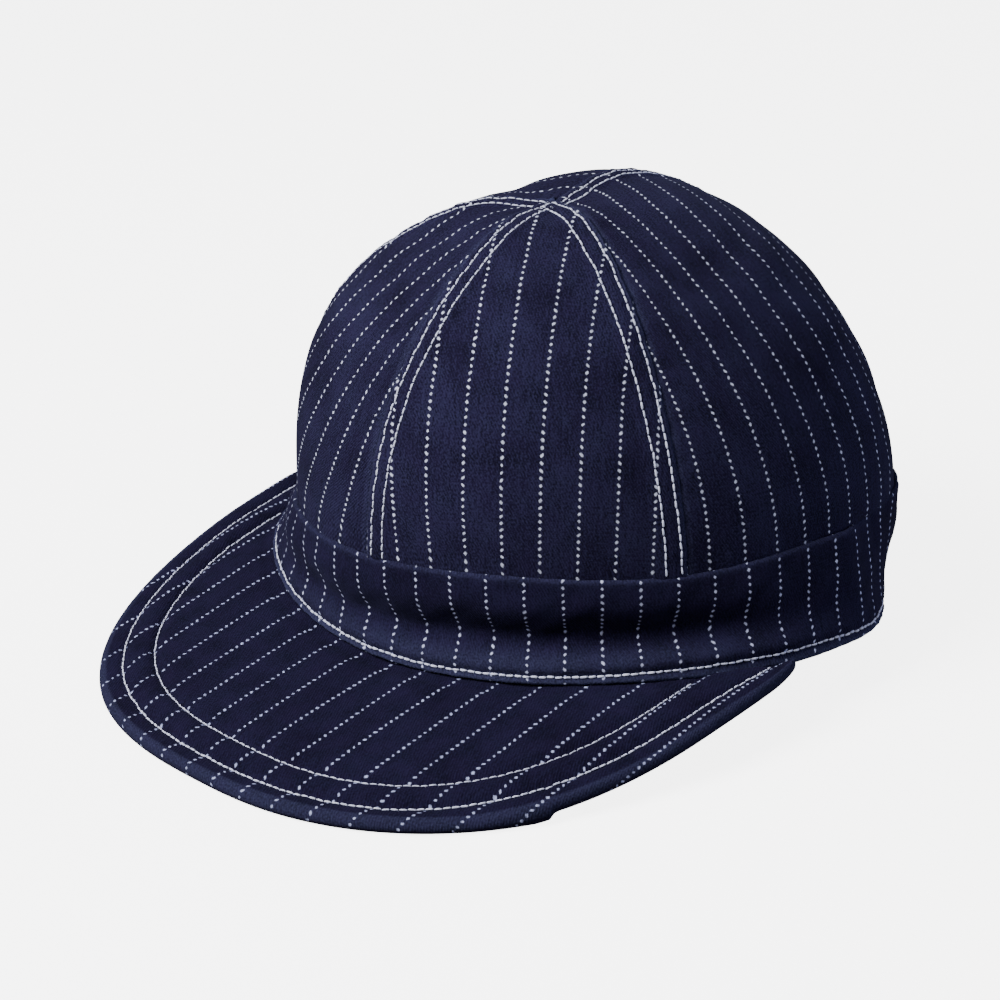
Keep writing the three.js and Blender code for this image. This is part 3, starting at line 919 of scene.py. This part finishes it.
def peak_edge(share):
    """The peak's outline in plan, from its right end (-1) past its tip (0) to its left end (1)."""
    angle = np.radians(share * PEAK_END_ANGLE)
    half_width = np.where(share > 0, PEAK_HALF_WIDTH["left"], PEAK_HALF_WIDTH["right"])
    across = (np.abs(np.sin(angle)) / half_width) ** PEAK_SQUARENESS
    forward = (np.abs(np.cos(angle)) / PEAK_REACH) ** PEAK_SQUARENESS
    radius = (across + forward) ** (-1 / PEAK_SQUARENESS)
    return np.stack([radius * np.sin(angle), PEAK_CENTRE - radius * np.cos(angle)], -1)


def peak_plane(x, y):
    """The height of the peak, which slopes down to its tip and is arched across."""
    sloped = PEAK_SLOPE["height"] + PEAK_SLOPE["fall"] * y
    return sloped - PEAK_SLOPE["arch"] * x ** 2 - PEAK_SLOPE["lean"] * x


def channel(distance, start, end, height):
    """The swell of padded cloth between two rows of stitching."""
    place = np.clip((distance - start) / (end - start), 0, 1)
    return height * np.sin(np.pi * place) ** 0.6


# The peak's top face: points from its edge in to the band, all the way along it
share = np.linspace(-1, 1, PEAK_COLUMNS)[:, None]
azimuth = share * PEAK_ATTACH_AZIMUTH
foot = band_point(azimuth, 1.0)
foot_radius = np.hypot(foot[..., 0], foot[..., 1])
beside_band = on_circle(azimuth, foot_radius + PEAK_CLEAR_OF_BAND, 0)[..., :2]
under_band = on_circle(azimuth, foot_radius - PEAK_UNDER_BAND, 0)[..., :2]
corner = np.clip((np.abs(share) - PEAK_ROUND_FROM) / (1 - PEAK_ROUND_FROM), 0, 1)
corner = 1 - np.sqrt(1 - corner ** 2)
ends = on_circle(azimuth, foot_radius + PEAK_BEYOND_BAND, 0)[..., :2]
edge = peak_edge(share) * (1 - corner[..., None]) + ends * corner[..., None]
depth = np.linalg.norm(edge - beside_band, axis=-1)
squeeze = np.minimum(1, depth / (PEAK_ROWS[1] * 1.25))
near_edge = np.arange(PEAK_THICKNESS / 2, PEAK_NEAR_EDGE, PEAK_STEP)[None] * squeeze
inside = np.linspace(0, 1, PEAK_INNER_ROWS + 1)[None, 1:]
inside = near_edge[:, -1:] + inside * (depth - near_edge[:, -1:])
distance = np.concatenate([near_edge, inside], 1)
from_band = depth - distance
kept = 1 - distance / depth
flat = beside_band + (edge - beside_band) * kept[..., None]
seat = foot_height(azimuth) - SEAM_GAP
held = np.maximum((1 - kept) ** 2, 1 - smooth(0, PEAK_HELD_OVER, from_band))
lift = (seat - peak_plane(foot[..., 0], foot[..., 1])) * held
plane = np.maximum(peak_plane(flat[..., 0], flat[..., 1]) + lift, PEAK_THICKNESS)

# The cloth swells between the edge, the two rows and the band, and is puckered along the rows
edge_length = np.broadcast_to(lengths_along(edge, 0), distance.shape)
puff = channel(distance, PEAK_ROWS[0], PEAK_ROWS[1], PEAK_CHANNELS[1])
puff += channel(distance, -1.5, PEAK_ROWS[0], PEAK_CHANNELS[0])
puff += (
    PEAK_CHANNELS[2] * smooth(PEAK_ROWS[1] - 0.5, PEAK_ROWS[1] + 4, distance)
    * smooth(0, 6, from_band)
)
puff -= sum(PEAK_DITCH * bump_at(distance, row, 0.8) for row in PEAK_ROWS)
puff += 0.5 * (1 - smooth(0, 3, from_band))
puff += 0.16 * ripple(edge_length, 8.5, 0.7) * bump_at(distance, 12, 9)
puff += 0.3 * ripple(flat[..., 0] + 0.35 * flat[..., 1], 43, 2.2) * smooth(17, 30, distance)
top = np.concatenate([flat, (plane + (puff - 0.2) * squeeze)[..., None]], -1)

# The edge is fuller along the front, and hangs lower, up to the spot where it was nipped in
fuller = PEAK_FULLER * smooth(-0.05, 0.15, share) * (1 - smooth(*PEAK_NIP, share))
thickness = PEAK_END_THICKNESS + (1 - PEAK_END_THICKNESS) * smooth(0, PEAK_THINS_OVER, depth)
hangs = PEAK_HANGS * fuller * (1 - smooth(0, 9, distance))
lowest = plane - PEAK_THICKNESS * thickness - hangs
bottom = np.concatenate([flat, np.maximum(lowest, 0)[..., None]], -1)

# The rolled edge is half an oval from the top layer round to the bottom one
roll = np.radians(np.linspace(0, 180, 11)[None, 1:-1])
outwards = (edge - beside_band) / np.maximum(depth, 1e-6)[..., None]
half = (top[:, :1, 2] - bottom[:, :1, 2]) / 2
rim = np.concatenate([
    flat[:, :1] + outwards * (np.sin(roll) * (distance[:, :1] + fuller))[..., None],
    (bottom[:, :1, 2] + half + np.cos(roll) * half)[..., None],
], -1)
tuck_top = np.concatenate([under_band, top[:, -1:, 2:]], -1)
tuck_bottom = np.concatenate([under_band, bottom[:, -1:, 2:]], -1)
section = np.concatenate([tuck_top, top[:, ::-1], rim, bottom, tuck_bottom], 1)

# The top layer's cloth carries on round the rolled edge and meets the lower layer underneath
plan = section[..., :2]
rim_start = 1 + top.shape[1]
rim_end = rim_start + roll.shape[1]
rolled = plan.copy()
rolled[:, rim_start:rim_end] = flat[:, :1] + outwards * (half * roll)[..., None]
rolled[:, rim_end] = flat[:, 0] + outwards[:, 0] * (half * np.pi)

columns, rows = section.shape[:2]
numbers = np.arange(columns * rows).reshape(columns, rows)
ring = np.concatenate([numbers, numbers[:, :1]], 1)
quads = np.stack([ring[:-1, :-1], ring[:-1, 1:], ring[1:, 1:], ring[1:, :-1]], -1)
of_top_layer = np.broadcast_to(np.arange(rows) < rim_end, quads.shape[:2]).ravel()
quads = quads.reshape(-1, 4)
caps = [numbers[0].tolist(), numbers[-1][::-1].tolist()]
peak_mesh = bpy.data.meshes.new("peak_padded_twill")
peak_mesh.from_pydata(
    ((section + RING_CENTRE) * MM).reshape(-1, 3).tolist(), [], quads.tolist() + caps,
)
corner_places = np.where(
    of_top_layer[:, None, None], rolled.reshape(-1, 2)[quads], plan.reshape(-1, 2)[quads],
).reshape(-1, 2)
corner_places = np.concatenate([corner_places] + [plan.reshape(-1, 2)[cap] for cap in caps])
corner_places /= (PEAK_CLOTH_STRETCH, 1)
corner_places -= (PEAK_FIRST_STRIPE * STRIPE_SPACING, 0)
peak_mesh.uv_layers.new(name="weave").data.foreach_set("uv", corner_places.ravel())
peak_wear = np.zeros((columns, rows))
peak_wear[:, rim_start - 1:rim_start + 5] = PEAK_WEAR
peak_mesh.attributes.new("wear_and_highlight", "FLOAT", "POINT").data.foreach_set("value", peak_wear.ravel())
peak_twill = striped_twill("indigo_twill_peak", "#080815", "#18192F", "#BCC3EE")
peak = new_piece("peak_padded_twill", peak_mesh, peak_twill)
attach(peak, "root")
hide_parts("peak")

peak_paths = []
for row in PEAK_ROWS:
    line = np.array([
        [np.interp(row, distance[i], top[i, :, k]) for k in range(3)] for i in range(len(share))
    ])
    peak_paths.append(line[depth[:, 0] > row + 1.5])
sew_rows("peak_stitching", peak_paths, surface_tree(top), 5)

# Floor, light and camera
# A pale table top, a broad soft light from the upper left, a weaker one from the right, and
# the photograph's viewing angle: from the wearer's front left, a little above.

FLOOR_GLOW = 5
FLOOR_SIZE = 8
WALL_RADIUS = 3.9
WALL_HEIGHT = 5

# A table top painted matt white. It glows, so that it stays white round the shadow.
white_paint, paint_surface = new_material("matt_white_table_top", {
    "Roughness": 0.9, "Emission Color": linear("#FFFFFF"), "Emission Strength": FLOOR_GLOW,
})
grain = add_node(white_paint, "TexNoise", links={"Scale": 3.0, "Detail": 2.0})
whites = {0: grain, 6: linear("#F4F4F6"), 7: linear("#FAFAFB")}
whites = add_node(white_paint, "Mix", links=whites, output=2, data_type="RGBA")
white_paint.node_tree.links.new(whites, paint_surface.inputs["Base Color"])

bpy.ops.object.select_all(action="DESELECT")
bpy.ops.mesh.primitive_plane_add(size=FLOOR_SIZE, location=(0, 0, 0))
floor = bpy.context.object
floor.name = "floor"

# A pale wall all round, which only closes the view
bpy.ops.object.select_all(action="DESELECT")
bpy.ops.mesh.primitive_cylinder_add(
    radius=WALL_RADIUS, depth=WALL_HEIGHT, end_fill_type="NOTHING",
    location=(0, 0, WALL_HEIGHT / 2),
)
backdrop = bpy.context.object
backdrop.name = "backdrop"
backdrop.visible_shadow = False
for background in (floor, backdrop):
    background.data.materials.append(white_paint)
    background.visible_diffuse = False
    background.visible_glossy = False

# The camera's place in mm is measured from a point in front of the middle of the band's ring
CAMERA_AZIMUTH = 44.596
CAMERA_ELEVATION = 23.239
CAMERA_ROLL = 0.655
CAMERA_DISTANCE = 915.844
CAMERA_SIDE = 24.921
CAMERA_UP = 54.96
CAMERA_LENS = 108
CAMERA_SENSOR = 36
AIM_IN_FRONT_OF_RING = 73.615


def direction(azimuth, elevation):
    """The way from the cap towards something at that azimuth and elevation in degrees."""
    turn, lift = math.radians(azimuth), math.radians(elevation)
    return np.array([
        math.sin(turn) * math.cos(lift), -math.cos(turn) * math.cos(lift), math.sin(lift),
    ])


back = direction(CAMERA_AZIMUTH, CAMERA_ELEVATION)
turn, roll = math.radians(CAMERA_AZIMUTH), math.radians(CAMERA_ROLL)
right = np.array([math.cos(turn), math.sin(turn), 0])
up = np.cross(back, right)
rolled_right = right * math.cos(roll) - up * math.sin(roll)
rolled_up = right * math.sin(roll) + up * math.cos(roll)
spot = rolled_right * CAMERA_SIDE + rolled_up * CAMERA_UP + back * CAMERA_DISTANCE
spot = (spot - (0, AIM_IN_FRONT_OF_RING, 0) + RING_CENTRE) * MM
camera_data = bpy.data.cameras.new("camera")
camera_data.lens = CAMERA_LENS
camera_data.sensor_width = CAMERA_SENSOR
camera = bpy.data.objects.new("camera", camera_data)
bpy.context.scene.collection.objects.link(camera)
axes = np.stack([rolled_right, rolled_up, back], 1)
camera.matrix_world = Matrix([
    [*axes[0], spot[0]], [*axes[1], spot[1]], [*axes[2], spot[2]], [0, 0, 0, 1],
])
bpy.context.scene.camera = camera


def soft_light(name, azimuth, elevation, distance, size, watts, colour="#FFFFFF"):
    """A round soft box that faces the cap. Its distance and size are in metres."""
    light = bpy.data.lights.new(name, "AREA")
    light.shape = "DISK"
    light.size = size
    light.energy = watts
    light.color = linear(colour)[:3]
    lamp = bpy.data.objects.new(name, light)
    bpy.context.scene.collection.objects.link(lamp)
    towards = Vector(direction(azimuth, elevation))
    lamp.location = towards * distance
    lamp.rotation_mode = "QUATERNION"
    lamp.rotation_quaternion = towards.to_track_quat("Z", "Y")


soft_light("key_light", -16, 46, 1.6, 0.9, 41)
soft_light("fill_light", 143, 7, 1.8, 1.0, 16, "#CDD6FF")
world = bpy.data.worlds.new("studio")
bpy.context.scene.world = world
world.use_nodes = True
studio = world.node_tree.nodes["Background"]
studio.inputs["Color"].default_value = linear("#FBFBFD")
studio.inputs["Strength"].default_value = 0.2
